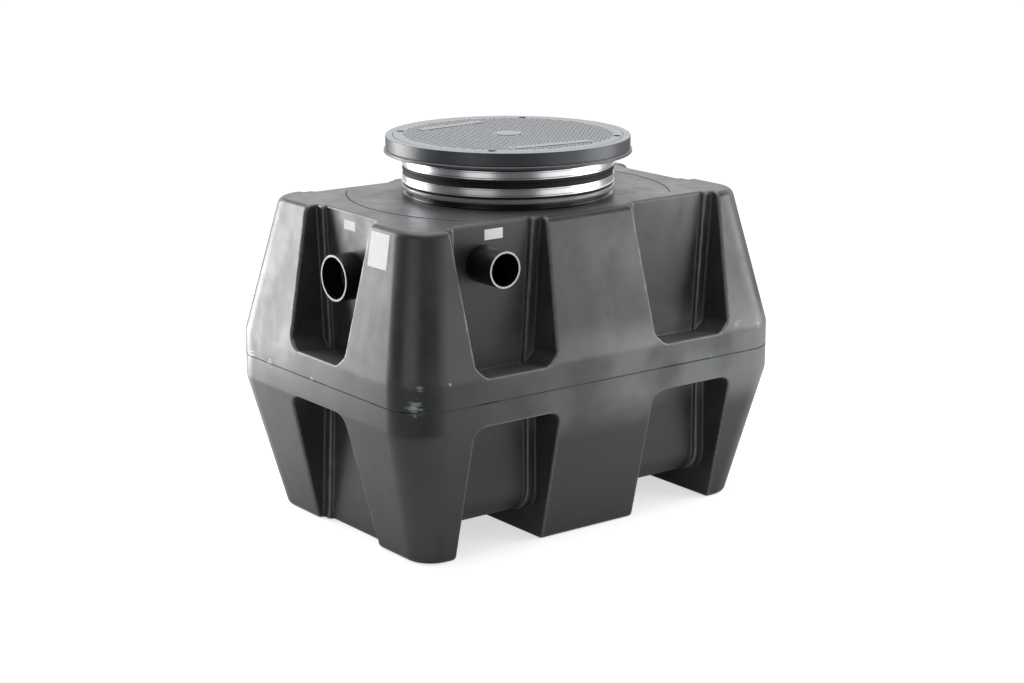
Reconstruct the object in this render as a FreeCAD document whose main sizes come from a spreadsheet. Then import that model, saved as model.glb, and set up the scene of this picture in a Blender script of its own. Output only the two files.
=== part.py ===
"""Oil separator: a moulded polyethylene tank with pipe stubs, a clamped rubber neck and a round cover.

The origin is on the ground under the middle of the tank. X runs along the tank, Y across it, Z up.
"""
import FreeCAD, Part
import math
import os
import re
import Sketcher
from FreeCAD import Placement, Rotation, Vector

doc = FreeCAD.newDocument("oil_separator")

# Driving dimensions, all in millimetres.
SIZES = {
    # The tank's outline in plan at the belt round its middle, and how far it draws in from there
    "belt_half_length": 577.5,
    "belt_half_width": 404.5,
    "belt_corner": 106.0,
    "foot_draw_length": 83.5,
    "foot_draw_width": 77.5,
    "foot_corner": 70.0,
    "deck_draw_length": 70.0,
    "deck_draw_width": 77.5,
    "deck_corner": 87.0,
    "deck_edge": 12.0,
    # Heights of the mould's parting line, of the belt on either side of it, and of the deck
    "parting": 400.0,
    "belt_half_height": 60.0,
    "deck_height": 800.0,
    "wall": 9.5,
    # Bays between the pillars: place, half-widths, depth behind the belt's face, and slope of the ledge
    "bay_end_gap": 305.5,
    "bay_depth": 100.0,
    "bay_ledge_half": 117.0,
    "bay_deck_half": 140.0,
    "bay_corner": 26.0,
    "ledge_drop": 14.0,
    "side_bay_belt_half": 125.0,
    "side_bay_foot_half": 128.0,
    "end_bay_foot_half": 137.0,
    # The panel in each bay is set back from a narrow upright strip on either side
    "strip_width": 26.0,
    "panel_step": 11.0,
    # Fork channels under the tank
    "channel_height": 62.0,
    "channel_round": 65.0,
    # Pipe stubs: two of 4 inch in the ends, one of 3 inch in a front bay
    "end_pipe_radius": 57.15,
    "end_pipe_wall": 6.0,
    "end_pipe_drop": 154.0,
    "end_pipe_reach": 55.0,
    "front_pipe_radius": 44.45,
    "front_pipe_wall": 5.5,
    "front_pipe_drop": 96.0,
    "front_pipe_shift": 27.0,
    "front_pipe_reach": 93.0,
    # Moulded neck on the deck; each rise here and below is a height above the deck
    "neck_radius": 256.0,
    "neck_flare": 32.0,
    "neck_flare_height": 14.0,
    "neck_bead_radius": 267.0,
    "neck_bead_height": 14.0,
    "neck_rise": 62.0,
    "deck_groove_radius": 405.0,
    "deck_groove_width": 4.0,
    "deck_groove_depth": 2.5,
    # Rubber sleeve and its two steel bands
    "sleeve_wall": 6.0,
    "sleeve_rise": 100.0,
    "sleeve_fit": 0.3,
    "sleeve_rib": 1.5,
    "sleeve_rib_height": 4.0,
    "band_wall": 1.6,
    "band_height": 20.5,
    "lower_band_rise": 32.0,
    "upper_band_rise": 74.0,
    "band_bead": 1.4,
    "screw_length": 62.0,
    "screw_depth": 14.0,
    "screw_height": 15.0,
    # Cover frame and lid
    "skirt_rise": 66.0,
    "lip_radius": 310.0,
    "lip_rise": 104.5,
    "lip_height": 8.0,
    "frame_radius": 306.0,
    "frame_rise": 146.0,
    "opening_radius": 244.0,
    "lid_radius": 286.5,
    "lid_fit": 1.0,
    "lid_height": 26.0,
    "notch_radius": 10.0,
    "notch_depth": 8.0,
    "notch_inset": 14.0,
}

sheet = doc.addObject("Spreadsheet::Sheet", "sizes")
for row, (alias, size) in enumerate(SIZES.items(), start=1):
    sheet.set("A%d" % row, alias)
    sheet.set("B%d" % row, str(size))
    sheet.setAlias("B%d" % row, alias)
doc.recompute()
NAMES = {alias: "sizes." + alias for alias in SIZES}


def formula(text):
    """Turn a formula in the names of the sizes into an expression on the sheet's cells."""
    return re.sub(r"[a-z_]+", lambda found: NAMES.get(found.group(), found.group()), text)


def value(text):
    """Work a formula out with the sheet's present values."""
    return sheet.evalExpression(formula(text))


def bind(item, **formulas):
    """Bind properties of an object to formulas; a double underscore in a name stands for a dot."""
    for name, text in formulas.items():
        item.setExpression(name.replace("__", "."), formula(str(text)))
    return item


def place(item, x="0", y="0", z="0", turn=0.0, axis=Vector(0, 0, 1)):
    """Turn an object about an axis through the origin and move it by three formulas."""
    item.Placement = Placement(Vector(), Rotation(axis, turn))
    return bind(item, Placement__Base__x=x, Placement__Base__y=y, Placement__Base__z=z)


def fix_point(sketch, index, end, x, y, name):
    """Hold one end of a sketch line at two signed distances from the sketch's origin."""
    sketch.addConstraint(Sketcher.Constraint("DistanceX", -1, 1, index, end, value(x)))
    sketch.renameConstraint(sketch.ConstraintCount - 1, name + "_x")
    sketch.addConstraint(Sketcher.Constraint("DistanceY", -1, 1, index, end, value(y)))
    sketch.renameConstraint(sketch.ConstraintCount - 1, name + "_y")
    bind(sketch, **{"Constraints__" + name + "_x": x, "Constraints__" + name + "_y": y})


def polygon(name, corners):
    """A closed sketch of straight lines whose corners are pairs of formulas."""
    sketch = doc.addObject("Sketcher::SketchObject", name)
    points = [Vector(value(x), value(y), 0) for x, y in corners]
    count = len(points)
    for index in range(count):
        sketch.addGeometry(Part.LineSegment(points[index], points[(index + 1) % count]))
    for index in range(count):
        sketch.addConstraint(Sketcher.Constraint("Coincident", index, 2, (index + 1) % count, 1))
    for index, (x, y) in enumerate(corners):
        fix_point(sketch, index, 1, x, y, "corner_" + chr(ord("a") + index))
    return sketch


def rounded_rectangle(name, half_length, half_width, radius, height):
    """A level sketch of a rectangle with round corners, centred on the tank's axis."""
    sketch = doc.addObject("Sketcher::SketchObject", name)
    a = value(half_length)
    b = value(half_width)
    r = value(radius)
    flat = [((r - a, -b), (a - r, -b)), ((a, r - b), (a, b - r)),
            ((a - r, b), (r - a, b)), ((-a, b - r), (-a, r - b))]
    turn = [(a - r, r - b), (a - r, b - r), (r - a, b - r), (r - a, r - b)]
    for side in range(4):
        start, end = flat[side]
        sketch.addGeometry(Part.LineSegment(Vector(*start, 0), Vector(*end, 0)))
        circle = Part.Circle(Vector(*turn[side], 0), Vector(0, 0, 1), r)
        first = (side - 1) * math.pi / 2
        sketch.addGeometry(Part.ArcOfCircle(circle, first, first + math.pi / 2))
    for side in range(4):
        line = 2 * side
        arc = line + 1
        sketch.addConstraint(Sketcher.Constraint("Tangent", line, 2, arc, 1))
        sketch.addConstraint(Sketcher.Constraint("Tangent", arc, 2, (line + 2) % 8, 1))
        sketch.addConstraint(Sketcher.Constraint("Vertical" if side % 2 else "Horizontal", line))
    for arc in (3, 5, 7):
        sketch.addConstraint(Sketcher.Constraint("Equal", 1, arc))
    held = [("front", "DistanceY", 0, "-(%s)" % half_width), ("right", "DistanceX", 2, half_length),
            ("rear", "DistanceY", 4, half_width), ("left", "DistanceX", 6, "-(%s)" % half_length)]
    for label, kind, line, text in held:
        sketch.addConstraint(Sketcher.Constraint(kind, -1, 1, line, 1, value(text)))
        sketch.renameConstraint(sketch.ConstraintCount - 1, label)
        bind(sketch, **{"Constraints__" + label: text})
    sketch.addConstraint(Sketcher.Constraint("Radius", 1, r))
    sketch.renameConstraint(sketch.ConstraintCount - 1, "corner")
    bind(sketch, Constraints__corner=radius)
    return place(sketch, z=height)


def extrude(name, base, direction, length):
    """A solid swept from a sketch along a direction given as three formulas."""
    item = doc.addObject("Part::Extrusion", name)
    item.Base = base
    item.DirMode = "Custom"
    item.Dir = Vector(*[value(text) for text in direction])
    item.Solid = True
    return bind(item, Dir__x=direction[0], Dir__y=direction[1], Dir__z=direction[2], LengthFwd=length)


def join(name, items):
    """The union of several objects."""
    item = doc.addObject("Part::MultiFuse", name)
    item.Shapes = items
    return item


def cut(name, base, tool):
    """One object less another."""
    item = doc.addObject("Part::Cut", name)
    item.Base = base
    item.Tool = tool
    return item


def common(name, base, tool):
    """What two objects share."""
    item = doc.addObject("Part::Common", name)
    item.Base = base
    item.Tool = tool
    return item


def cylinder(name, radius, height, z="0"):
    """An upright cylinder on the tank's axis."""
    item = doc.addObject("Part::Cylinder", name)
    bind(item, Radius=radius, Height=height)
    return place(item, z=z)


def turned(name, corners):
    """A ring turned about the vertical axis from a profile of (radius, height) formulas."""
    profile = polygon(name + "_profile", corners)
    profile.Placement = Placement(Vector(), Rotation(Vector(1, 0, 0), 90))
    item = doc.addObject("Part::Revolution", name)
    item.Source = profile
    item.Axis = Vector(0, 0, 1)
    item.Angle = 360.0
    item.Solid = True
    return item


# The tank's outer form, and the bays and channels that are taken out of it

BELT_LOW = "(parting - belt_half_height)"
BELT_HIGH = "(parting + belt_half_height)"


def tank_form(name, inset, floor, roof, edge):
    """A straight-sided loft from the ground over the belt to the deck, moved in by a wall.

    The deck's edge is bevelled: the last level but one lies on the taper below the deck.
    """
    length = "belt_half_length - (%s)" % inset
    width = "belt_half_width - (%s)" % inset
    share = "((%s) / (%s - %s))" % (edge, roof, BELT_HIGH)
    corner = "deck_corner + (belt_corner - deck_corner) * %s - (%s)" % (share, inset)
    levels = [
        (length + " - foot_draw_length", width + " - foot_draw_width", "foot_corner - (%s)" % inset, floor),
        (length, width, "belt_corner - (%s)" % inset, BELT_LOW),
        (length, width, "belt_corner - (%s)" % inset, BELT_HIGH),
        ("%s - deck_draw_length * (1 - %s)" % (length, share),
         "%s - deck_draw_width * (1 - %s)" % (width, share),
         corner, "%s - (%s)" % (roof, edge)),
        ("%s - deck_draw_length - (%s)" % (length, edge), "%s - deck_draw_width - (%s)" % (width, edge),
         "deck_corner - (%s) - (%s)" % (inset, edge), roof),
    ]
    sections = []
    for index, level in enumerate(levels):
        sections.append(rounded_rectangle("%s_level_%d" % (name, index), *level))
    loft = doc.addObject("Part::Loft", name)
    loft.Sections = sections
    loft.Solid = True
    loft.Ruled = True
    return loft


def bay_outline(name, ledge_half, open_half, span, back, grow):
    """The outline of a bay on an upright plane set back from the belt's face.

    Heights are measured from the parting line. The ledge slopes down towards the back, its corners
    are cut off, and the open end runs on past the deck or the ground in line with the sides.
    """
    ledge = "(belt_half_height - ledge_drop * (%s) / bay_depth - (%s))" % (back, grow)
    widen = "((%s - %s) / (%s - belt_half_height))" % (open_half, ledge_half, span)
    half = "(%s + (%s))" % (ledge_half, grow)
    past = "(%s + bay_depth)" % span
    past_half = "(%s + %s * (%s - %s))" % (half, widen, past, ledge)
    knee = "(%s + bay_corner)" % ledge
    knee_half = "(%s + %s * bay_corner)" % (half, widen)
    outline = polygon(name, [
        ("bay_corner - " + half, ledge),
        (half + " - bay_corner", ledge),
        (knee_half, knee),
        (past_half, past),
        ("-" + past_half, past),
        ("-" + knee_half, knee),
    ])
    outline.Placement = Placement(Vector(), Rotation(Vector(1, 0, 0), 90))
    return outline


FACES = {"front": 0.0, "right": 90.0, "rear": 180.0, "left": 270.0}
UPPER_SPAN = "(deck_height - parting)"
LOWER_SPAN = "parting"


def set_bay(name, outline, face, shift, back, lower):
    """Sweep a bay's outline outwards at one face of the tank, opening up or down, shifted along the face."""
    half = "belt_half_length" if face in ("left", "right") else "belt_half_width"
    outward = "(%s - (%s))" % (half, back)
    tool = extrude(name, outline, ("0", "-bay_depth", "ledge_drop"), "3 * bay_depth")
    turn = Rotation(Vector(0, 0, 1), FACES[face])
    tool.Placement = Placement(Vector(), turn * Rotation(Vector(0, 1, 0), 180.0 if lower else 0.0))
    along = turn.multVec(Vector(1, 0, 0))
    out = turn.multVec(Vector(0, -1, 0))
    x = "%d * (%s) + %d * %s" % (round(along.x), shift, round(out.x), outward)
    y = "%d * (%s) + %d * %s" % (round(along.y), shift, round(out.y), outward)
    return bind(tool, Placement__Base__x=x, Placement__Base__y=y, Placement__Base__z="parting")


BAY_PITCH = "(belt_half_length - bay_end_gap)"
PLACES = [("front", "-" + BAY_PITCH), ("front", BAY_PITCH), ("rear", "-" + BAY_PITCH), ("rear", BAY_PITCH),
          ("left", "0"), ("right", "0")]
PANEL_BACK = "bay_depth + panel_step"
# Each kind of bay tool: how far its plane lies behind the belt's face, and how far it grows sideways
KINDS = {
    "bay": ("bay_depth", "0"),
    "panel": (PANEL_BACK, "-strip_width"),
    "bay_wall": (PANEL_BACK + " + wall", "wall"),
}


def bay_tools(kind):
    """The tools of one kind at all twelve bays."""
    back, grow = KINDS[kind]
    upper = bay_outline("upper_%s_outline" % kind, "bay_ledge_half", "bay_deck_half", UPPER_SPAN, back, grow)
    side = bay_outline("side_%s_outline" % kind, "side_bay_belt_half", "side_bay_foot_half", LOWER_SPAN,
                       back, grow)
    end = bay_outline("end_%s_outline" % kind, "bay_ledge_half", "end_bay_foot_half", LOWER_SPAN, back, grow)
    tools = []
    for index, (face, shift) in enumerate(PLACES):
        lower = end if face in ("left", "right") else side
        tools.append(set_bay("upper_%s_%d" % (kind, index), upper, face, shift, back, False))
        tools.append(set_bay("lower_%s_%d" % (kind, index), lower, face, shift, back, True))
    return tools


def channel_tool(name, side, grow):
    """One fork channel under the tank. The bay panels at its two mouths round over into its roof."""
    half = "(side_bay_foot_half + (%s))" % grow
    spring = "(channel_height + channel_round)"
    start = "(belt_half_width - bay_depth - panel_step - channel_round)"
    radius = "(channel_round - (%s))" % grow
    across = "(2 * %s)" % half
    edge = "%d * %s - %s" % (side, BAY_PITCH, half)
    block = doc.addObject("Part::Box", name + "_block")
    bind(block, Length=across, Width="2 * belt_half_width", Height=spring + " + wall")
    place(block, x=edge, y="-belt_half_width", z="-wall")
    core = doc.addObject("Part::Box", name + "_core")
    bind(core, Length=across, Width="2 * " + start, Height=radius)
    place(core, x=edge, y="-" + start, z=spring + " - " + radius)
    rolls = []
    for sign in (-1, 1):
        roll = doc.addObject("Part::Cylinder", "%s_roll_%d" % (name, len(rolls)))
        bind(roll, Radius=radius, Height=across)
        place(roll, edge, "%d * %s" % (sign, start), spring, 90.0, Vector(0, 1, 0))
        rolls.append(roll)
    return cut(name, block, join(name + "_roof", [core] + rolls))


def channel_tools(kind, grow):
    """The tools of both fork channels."""
    return [channel_tool(kind + "_channel_left", -1, grow), channel_tool(kind + "_channel_right", 1, grow)]


# The moulded shell: the outer form with its bays and channels, less the hollow one wall inside it
DECK_UNDER = "(deck_height - wall)"
HOLLOW_EDGE = "(deck_edge - (2 - sqrt(2)) * wall)"
outer = cut("tank_outer", tank_form("tank_form", "0", "0", "deck_height", "deck_edge"),
            join("tank_recesses", bay_tools("bay") + bay_tools("panel") + channel_tools("outer", "0")))
hollow = cut("tank_hollow", tank_form("hollow_form", "wall", "wall", DECK_UNDER, HOLLOW_EDGE),
             join("hollow_walls", bay_tools("bay_wall") + channel_tools("inner", "wall")))
access = cylinder("deck_opening", "neck_radius - wall", "3 * wall", "deck_height - 2 * wall")
GROOVE_BASE = "deck_height - deck_groove_depth"
groove = cut("deck_groove",
             cylinder("groove_outer", "deck_groove_radius + deck_groove_width / 2", "wall", GROOVE_BASE),
             cylinder("groove_inner", "deck_groove_radius - deck_groove_width / 2", "wall", GROOVE_BASE))
shell = cut("tank_shell", outer, join("tank_inside", [hollow, access, groove]))

# The shell is divided at its parting line, under the deck, and along the diagonals of its corners
CORNER_SHIFT = "(belt_half_length - belt_half_width)"
FLOOR_LENGTH = "(%s + side_bay_foot_half + wall)" % BAY_PITCH
FLOOR_WIDTH = "(%s - %s)" % (FLOOR_LENGTH, CORNER_SHIFT)


def side_zone(name, face, base, top):
    """The space of one side wall: a prism that widens from the floor's edge to past the belt."""
    if face in ("front", "rear"):
        near = FLOOR_WIDTH
        near_half = FLOOR_LENGTH
        far = "(belt_half_width + wall)"
        far_half = "(belt_half_length + wall)"
    else:
        near = FLOOR_LENGTH
        near_half = FLOOR_WIDTH
        far = "(belt_half_length + wall)"
        far_half = "(belt_half_width + wall)"
    zone = doc.addObject("Part::Wedge", name)
    bind(zone, Ymin="-" + far, Ymax="-" + near, Xmin="-" + far_half, Xmax=far_half, X2min="-" + near_half,
         X2max=near_half, Zmin=base, Z2min=base, Zmax=top, Z2max=top)
    zone.Placement = Placement(Vector(), Rotation(Vector(0, 0, 1), FACES[face]))
    return zone


def block_zone(name, half_length, half_width, base, height):
    """An upright block centred on the tank's axis."""
    zone = doc.addObject("Part::Box", name)
    bind(zone, Length="2 * " + half_length, Width="2 * " + half_width, Height=height)
    return place(zone, x="-" + half_length, y="-" + half_width, z=base)


def pipe(name, radius, pipe_wall, reach, panel, face, along, height):
    """A pipe stub standing square on a bay's panel, and the tool for its bore and the hole behind it."""
    turn = Rotation(Vector(0, 0, 1), FACES[face])
    out = turn.multVec(Vector(0, -1, 0))
    side = turn.multVec(Vector(1, 0, 0))
    rods = []
    bore = "%s - %s" % (radius, pipe_wall)
    for suffix, size, root in (("tube", radius, panel), ("bore", bore, panel + " - 2 * wall")):
        rod = doc.addObject("Part::Cylinder", "%s_%s" % (name, suffix))
        bind(rod, Radius=size, Height="%s + %s - (%s)" % (panel, reach, root))
        rod.Placement = Placement(Vector(), turn * Rotation(Vector(1, 0, 0), 90.0))
        bind(rod, Placement__Base__x="%d * (%s) + %d * (%s)" % (round(out.x), root, round(side.x), along),
             Placement__Base__y="%d * (%s) + %d * (%s)" % (round(out.y), root, round(side.y), along),
             Placement__Base__z=height)
        rods.append(rod)
    return cut(name, rods[0], rods[1]), rods[1]


END_PANEL = "(belt_half_length - bay_depth - panel_step)"
FRONT_PANEL = "(belt_half_width - bay_depth - panel_step)"
left_pipe, left_bore = pipe("left_end_pipe", "end_pipe_radius", "end_pipe_wall", "end_pipe_reach",
                            END_PANEL, "left", "0", "deck_height - end_pipe_drop")
right_pipe, right_bore = pipe("right_end_pipe", "end_pipe_radius", "end_pipe_wall", "end_pipe_reach",
                              END_PANEL, "right", "0", "deck_height - end_pipe_drop")
front_pipe, front_bore = pipe("front_pipe", "front_pipe_radius", "front_pipe_wall", "front_pipe_reach",
                              FRONT_PANEL, "front", "-%s - front_pipe_shift" % BAY_PITCH,
                              "deck_height - front_pipe_drop")

pieces = [left_pipe, right_pipe, front_pipe]
HOLES = {"front": front_bore, "left": left_bore, "right": right_bore}
for face in FACES:
    kind = "wall" if face in ("front", "rear") else "end_wall"
    lower_zone = side_zone("lower_%s_zone" % face, face, "-wall", "parting")
    lower = common("lower_%s_%s" % (face, kind), shell, lower_zone)
    upper_name = "upper_%s_%s" % (face, kind)
    upper_zone = side_zone("upper_%s_zone" % face, face, "parting", DECK_UNDER)
    if face in HOLES:
        upper = cut(upper_name, common(upper_name + "_blank", shell, upper_zone), HOLES[face])
    else:
        upper = common(upper_name, shell, upper_zone)
    pieces += [lower, upper]
floor_zone = block_zone("floor_zone", FLOOR_LENGTH, FLOOR_WIDTH, "-wall", "parting")
deck_zone = block_zone("deck_zone", "belt_half_length", "belt_half_width", DECK_UNDER, "2 * wall")
pieces.append(common("floor", shell, floor_zone))
pieces.append(common("deck", shell, deck_zone))

# Neck: a flared foot on the deck, a bead that stops the sleeve, and a plain spigot inside the sleeve
BEAD_BASE = "(deck_height + neck_flare_height)"
BEAD_TOP = "(%s + neck_bead_height)" % BEAD_BASE
NECK_TOP = "(deck_height + neck_rise)"
pieces.append(turned("neck", [
    ("neck_radius - wall", "deck_height"),
    ("neck_radius + neck_flare", "deck_height"),
    ("neck_bead_radius", BEAD_BASE),
    ("neck_bead_radius", BEAD_TOP),
    ("neck_radius", BEAD_TOP),
    ("neck_radius", NECK_TOP),
    ("neck_radius - wall", NECK_TOP),
]))

# Rubber sleeve over the neck and the cover's skirt, with a rib left proud between its two bands
SLEEVE_IN = "(neck_radius + sleeve_fit)"
SLEEVE_OUT = "(%s + sleeve_wall)" % SLEEVE_IN
SLEEVE_TOP = "(deck_height + sleeve_rise)"
RIB_MIDDLE = "(deck_height + (lower_band_rise + band_height + upper_band_rise) / 2)"
pieces.append(turned("rubber_sleeve", [
    (SLEEVE_IN, BEAD_TOP),
    (SLEEVE_OUT, BEAD_TOP),
    (SLEEVE_OUT, RIB_MIDDLE + " - sleeve_rib_height / 2"),
    (SLEEVE_OUT + " + sleeve_rib", RIB_MIDDLE + " - sleeve_rib_height / 2"),
    (SLEEVE_OUT + " + sleeve_rib", RIB_MIDDLE + " + sleeve_rib_height / 2"),
    (SLEEVE_OUT, RIB_MIDDLE + " + sleeve_rib_height / 2"),
    (SLEEVE_OUT, SLEEVE_TOP),
    (SLEEVE_IN, SLEEVE_TOP),
]))

# Two stainless bands with rolled edges, each drawn tight by a screw in a housing at the back
BAND_IN = "(%s + sleeve_fit)" % SLEEVE_OUT
BAND_OUT = "(%s + band_wall)" % BAND_IN
BAND_EDGE = "(%s + band_bead)" % BAND_OUT
for level in ("lower", "upper"):
    base = "deck_height + %s_band_rise" % level
    pieces.append(turned(level + "_band", [
        (BAND_IN, base),
        (BAND_EDGE, base),
        (BAND_EDGE, base + " + 2 * band_bead"),
        (BAND_OUT, base + " + 3 * band_bead"),
        (BAND_OUT, base + " + band_height - 3 * band_bead"),
        (BAND_EDGE, base + " + band_height - 2 * band_bead"),
        (BAND_EDGE, base + " + band_height"),
        (BAND_IN, base + " + band_height"),
    ]))
    block = doc.addObject("Part::Box", level + "_screw_block")
    bind(block, Length="screw_length", Width="2 * screw_depth", Height="screw_height")
    place(block, "-screw_length / 2", BAND_EDGE + " - screw_depth",
          base + " + (band_height - screw_height) / 2")
    seat = cylinder(level + "_screw_seat", BAND_EDGE, "2 * band_height", base + " - band_height / 2")
    pieces.append(cut(level + "_band_screw", block, seat))

# Cover: a frame with a skirt inside the sleeve and a rebate in its top, and a round lid lying in it
FRAME_TOP = "(deck_height + frame_rise)"
SEAT = "(%s - lid_height)" % FRAME_TOP
SKIRT_BASE = "(deck_height + skirt_rise)"
LIP_BASE = "(deck_height + lip_rise)"
LIP_TOP = "(%s + lip_height)" % LIP_BASE
pieces.append(turned("cover_frame", [
    ("opening_radius", SKIRT_BASE),
    ("neck_radius", SKIRT_BASE),
    ("neck_radius", LIP_BASE),
    ("lip_radius", LIP_BASE),
    ("lip_radius", LIP_TOP),
    ("frame_radius", LIP_TOP),
    ("frame_radius", FRAME_TOP),
    ("lid_radius + lid_fit", FRAME_TOP),
    ("lid_radius + lid_fit", SEAT),
    ("opening_radius", SEAT),
]))

# Four lifting notches near the lid's rim, midway between the tank's sides
NOTCH_PLACE = "((lid_radius - notch_inset) * sqrt(0.5))"
notches = []
for index, (across, along) in enumerate([(1, 1), (-1, 1), (-1, -1), (1, -1)]):
    notch = cylinder("lid_notch_%d" % index, "notch_radius", "2 * notch_depth")
    place(notch, "%d * %s" % (across, NOTCH_PLACE), "%d * %s" % (along, NOTCH_PLACE),
          FRAME_TOP + " - notch_depth")
    notches.append(notch)
lid_plate = cylinder("lid_plate", "lid_radius", "lid_height", SEAT)
pieces.append(cut("lid", lid_plate, join("lid_notches", notches)))

doc.recompute()
for item in doc.Objects:
    if "Invalid" in item.State or "Error" in item.State:
        raise RuntimeError("%s failed: %s" % (item.Name, item.State))
for piece in pieces:
    if piece.Shape.isNull() or not piece.Shape.isValid() or not piece.Shape.Solids:
        raise RuntimeError("%s has no valid solid" % piece.Name)
os.makedirs("parts", exist_ok=True)
for piece in pieces:
    piece.Label = piece.Name
    piece.Shape.exportStep("parts/%s.step" % piece.Label)
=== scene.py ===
"""Looks of the oil separator: moulded tank, pipe stubs, neck, rubber sleeve, steel bands and round cover."""

import bpy
import numpy as np
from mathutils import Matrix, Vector


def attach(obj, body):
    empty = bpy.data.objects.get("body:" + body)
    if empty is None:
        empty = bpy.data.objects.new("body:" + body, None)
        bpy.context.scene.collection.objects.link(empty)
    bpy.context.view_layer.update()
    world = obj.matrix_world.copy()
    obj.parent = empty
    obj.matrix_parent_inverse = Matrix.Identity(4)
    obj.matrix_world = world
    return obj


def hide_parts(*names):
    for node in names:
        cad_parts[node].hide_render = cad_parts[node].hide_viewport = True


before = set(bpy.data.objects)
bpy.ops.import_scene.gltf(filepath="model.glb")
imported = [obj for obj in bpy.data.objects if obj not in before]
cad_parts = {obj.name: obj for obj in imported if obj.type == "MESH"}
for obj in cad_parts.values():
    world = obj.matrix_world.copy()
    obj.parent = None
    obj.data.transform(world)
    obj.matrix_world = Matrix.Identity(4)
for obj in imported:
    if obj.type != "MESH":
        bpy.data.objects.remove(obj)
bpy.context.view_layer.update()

# Tank. One hollow moulding of charcoal polyethylene, turned in a heated mould until it coats the walls.
# Pillars stand between bays above and below a plain belt, and two fork channels pass under it. Every edge
# is rounded by the mould, so the skin is one smooth surface.
MM = 0.001
LENGTH_FOOT, LENGTH_BELT, LENGTH_DECK = 494.0, 577.5, 507.5
WIDTH_FOOT, WIDTH_BELT, WIDTH_DECK = 327.0, 404.5, 327.0
CORNERS = (70.0, 106.0, 106.0, 87.0)
LEVELS = (0.0, 340.0, 460.0, 800.0)
BELT_LOW, BELT_HIGH, DECK = LEVELS[1:]
PARTING = 400.0
BAY_AXIS, BAY_DEPTH, PANEL_STEP = 272.0, 100.0, 11.0
UPPER_BAY_HALF, UPPER_BAY_FLARE = 117.0, 23.0
# Half widths of the lower bays at the belt and at the ground.
SIDE_BAY_HALVES, END_BAY_HALVES = (125.0, 128.0), (117.0, 137.0)
STRIP, STRIP_ROUND = 26.0, 5.0
LEDGE_SLOPE, DIAGONAL = 0.14, 0.7071
LEDGE_ROUND, ROOF_ROUND, PANEL_ROUND = 5.0, 28.0, 8.0
CHANNEL_ROOF, CHANNEL_ROUND = 62.0, 65.0
END_PIPE_BORE, END_PIPE_HEIGHT = 51.15, 646.0
FRONT_PIPE_BORE, FRONT_PIPE_HEIGHT, FRONT_PIPE_X = 38.95, 704.0, -299.0
END_BORE_FROM, FRONT_BORE_FROM = 360.0, 190.0
FOLD_SOFT, EDGE_ROUND, DECK_ROUND, FOOT_ROUND = 1.5, 6.0, 15.0, 12.0
# Where the skin is divided into the walls, the floor and the deck.
CORE_LENGTH, CORE_WIDTH, DECK_UNDER = 409.5, 236.5, 790.5
# Haze along the belt: how far above and below the parting it is full and ends, and where along x it grows,
# paler to the right as painted light from that side.
HAZE_FULL, HAZE_END = 70.0, 150.0
PAINTED_LIGHT_LEFT, PAINTED_LIGHT_RIGHT = -400.0, 50.0
EDGE_BEND = 0.45
# Knocked places on the belt, the near foot and an end bay: x, y, z and reach.
KNOCKS = np.array([
    (-546.0, -372.0, 412.0, 36.0), (-538.0, -380.0, 458.0, 16.0), (-470.0, -402.0, 462.0, 9.0),
    (-577.0, 300.0, 408.0, 26.0), (-577.0, 215.0, 402.0, 22.0), (-577.0, 20.0, 402.0, 14.0),
    (-480.0, 40.0, 40.0, 22.0), (330.0, -400.0, 405.0, 12.0), (421.0, -392.0, 476.0, 24.0),
    (486.0, -391.0, 462.0, 26.0)])
# The grid that the skin is meshed on, and how far its points are evened out at each pass.
GRID, GRID_LOW, GRID_HIGH = 4.8, (-591.0, -417.0, -9.0), (591.0, 417.0, 813.0)
EVENING = (0.0, 0.0, 0.5, 0.0, 0.5, 0.0, 0.0)


def soft_min(a, b, soft):
    """The lesser of two lengths, with a parabola over the stretch where they differ by less than soft."""
    share = np.clip(0.5 + 0.5 * (b - a) / soft, 0.0, 1.0)
    return b + (a - b) * share - soft * share * (1.0 - share)


def round_max(a, b, radius):
    """The greater of two distances, which is what two solids share, with their edge rounded to a radius."""
    corner = np.hypot(np.maximum(a + radius, 0.0), np.maximum(b + radius, 0.0))
    return np.minimum(np.maximum(a, b), -radius) + corner


def upper_bay(along, behind, z):
    """Distance to an upper bay's space: two leaning walls, a ledge sloping back, cut corners, two depths."""
    wall = np.abs(along) - (UPPER_BAY_HALF + UPPER_BAY_FLARE * (z - BELT_HIGH) / (DECK - BELT_HIGH))
    ledge = BELT_HIGH - LEDGE_SLOPE * behind - z
    outline = round_max(wall, ledge, LEDGE_ROUND)
    outline = round_max(outline, (wall + ledge + STRIP) * DIAGONAL, LEDGE_ROUND)
    panel = round_max(wall + STRIP, outline, PANEL_ROUND)
    return -round_max(-round_max(outline, behind - BAY_DEPTH, STRIP_ROUND),
                      -round_max(panel, behind - BAY_DEPTH - PANEL_STEP, STRIP_ROUND), STRIP_ROUND)


def lower_bay(along, behind, z, belt_half, foot_half, core, panel_core):
    """Distance to a lower bay's space: two walls, a roof with round corners, and the core behind it."""
    wall = np.abs(along) - (belt_half + (foot_half - belt_half) * (BELT_LOW - z) / BELT_LOW)
    roof = z - BELT_LOW - LEDGE_SLOPE * behind
    outline = round_max(wall, roof, ROOF_ROUND)
    panel = round_max(wall + STRIP, outline, PANEL_ROUND)
    return -round_max(-round_max(outline, core, STRIP_ROUND),
                      -round_max(panel, panel_core, STRIP_ROUND), STRIP_ROUND)


def leaning_half(foot, belt, deck, down, up):
    """Half the tank's size at a height: the least of the belt's and the leans from the foot and the deck."""
    lean = soft_min(foot + (belt - foot) * down, deck + (belt - deck) * up, FOLD_SOFT)
    return soft_min(lean, belt, FOLD_SOFT)


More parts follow.
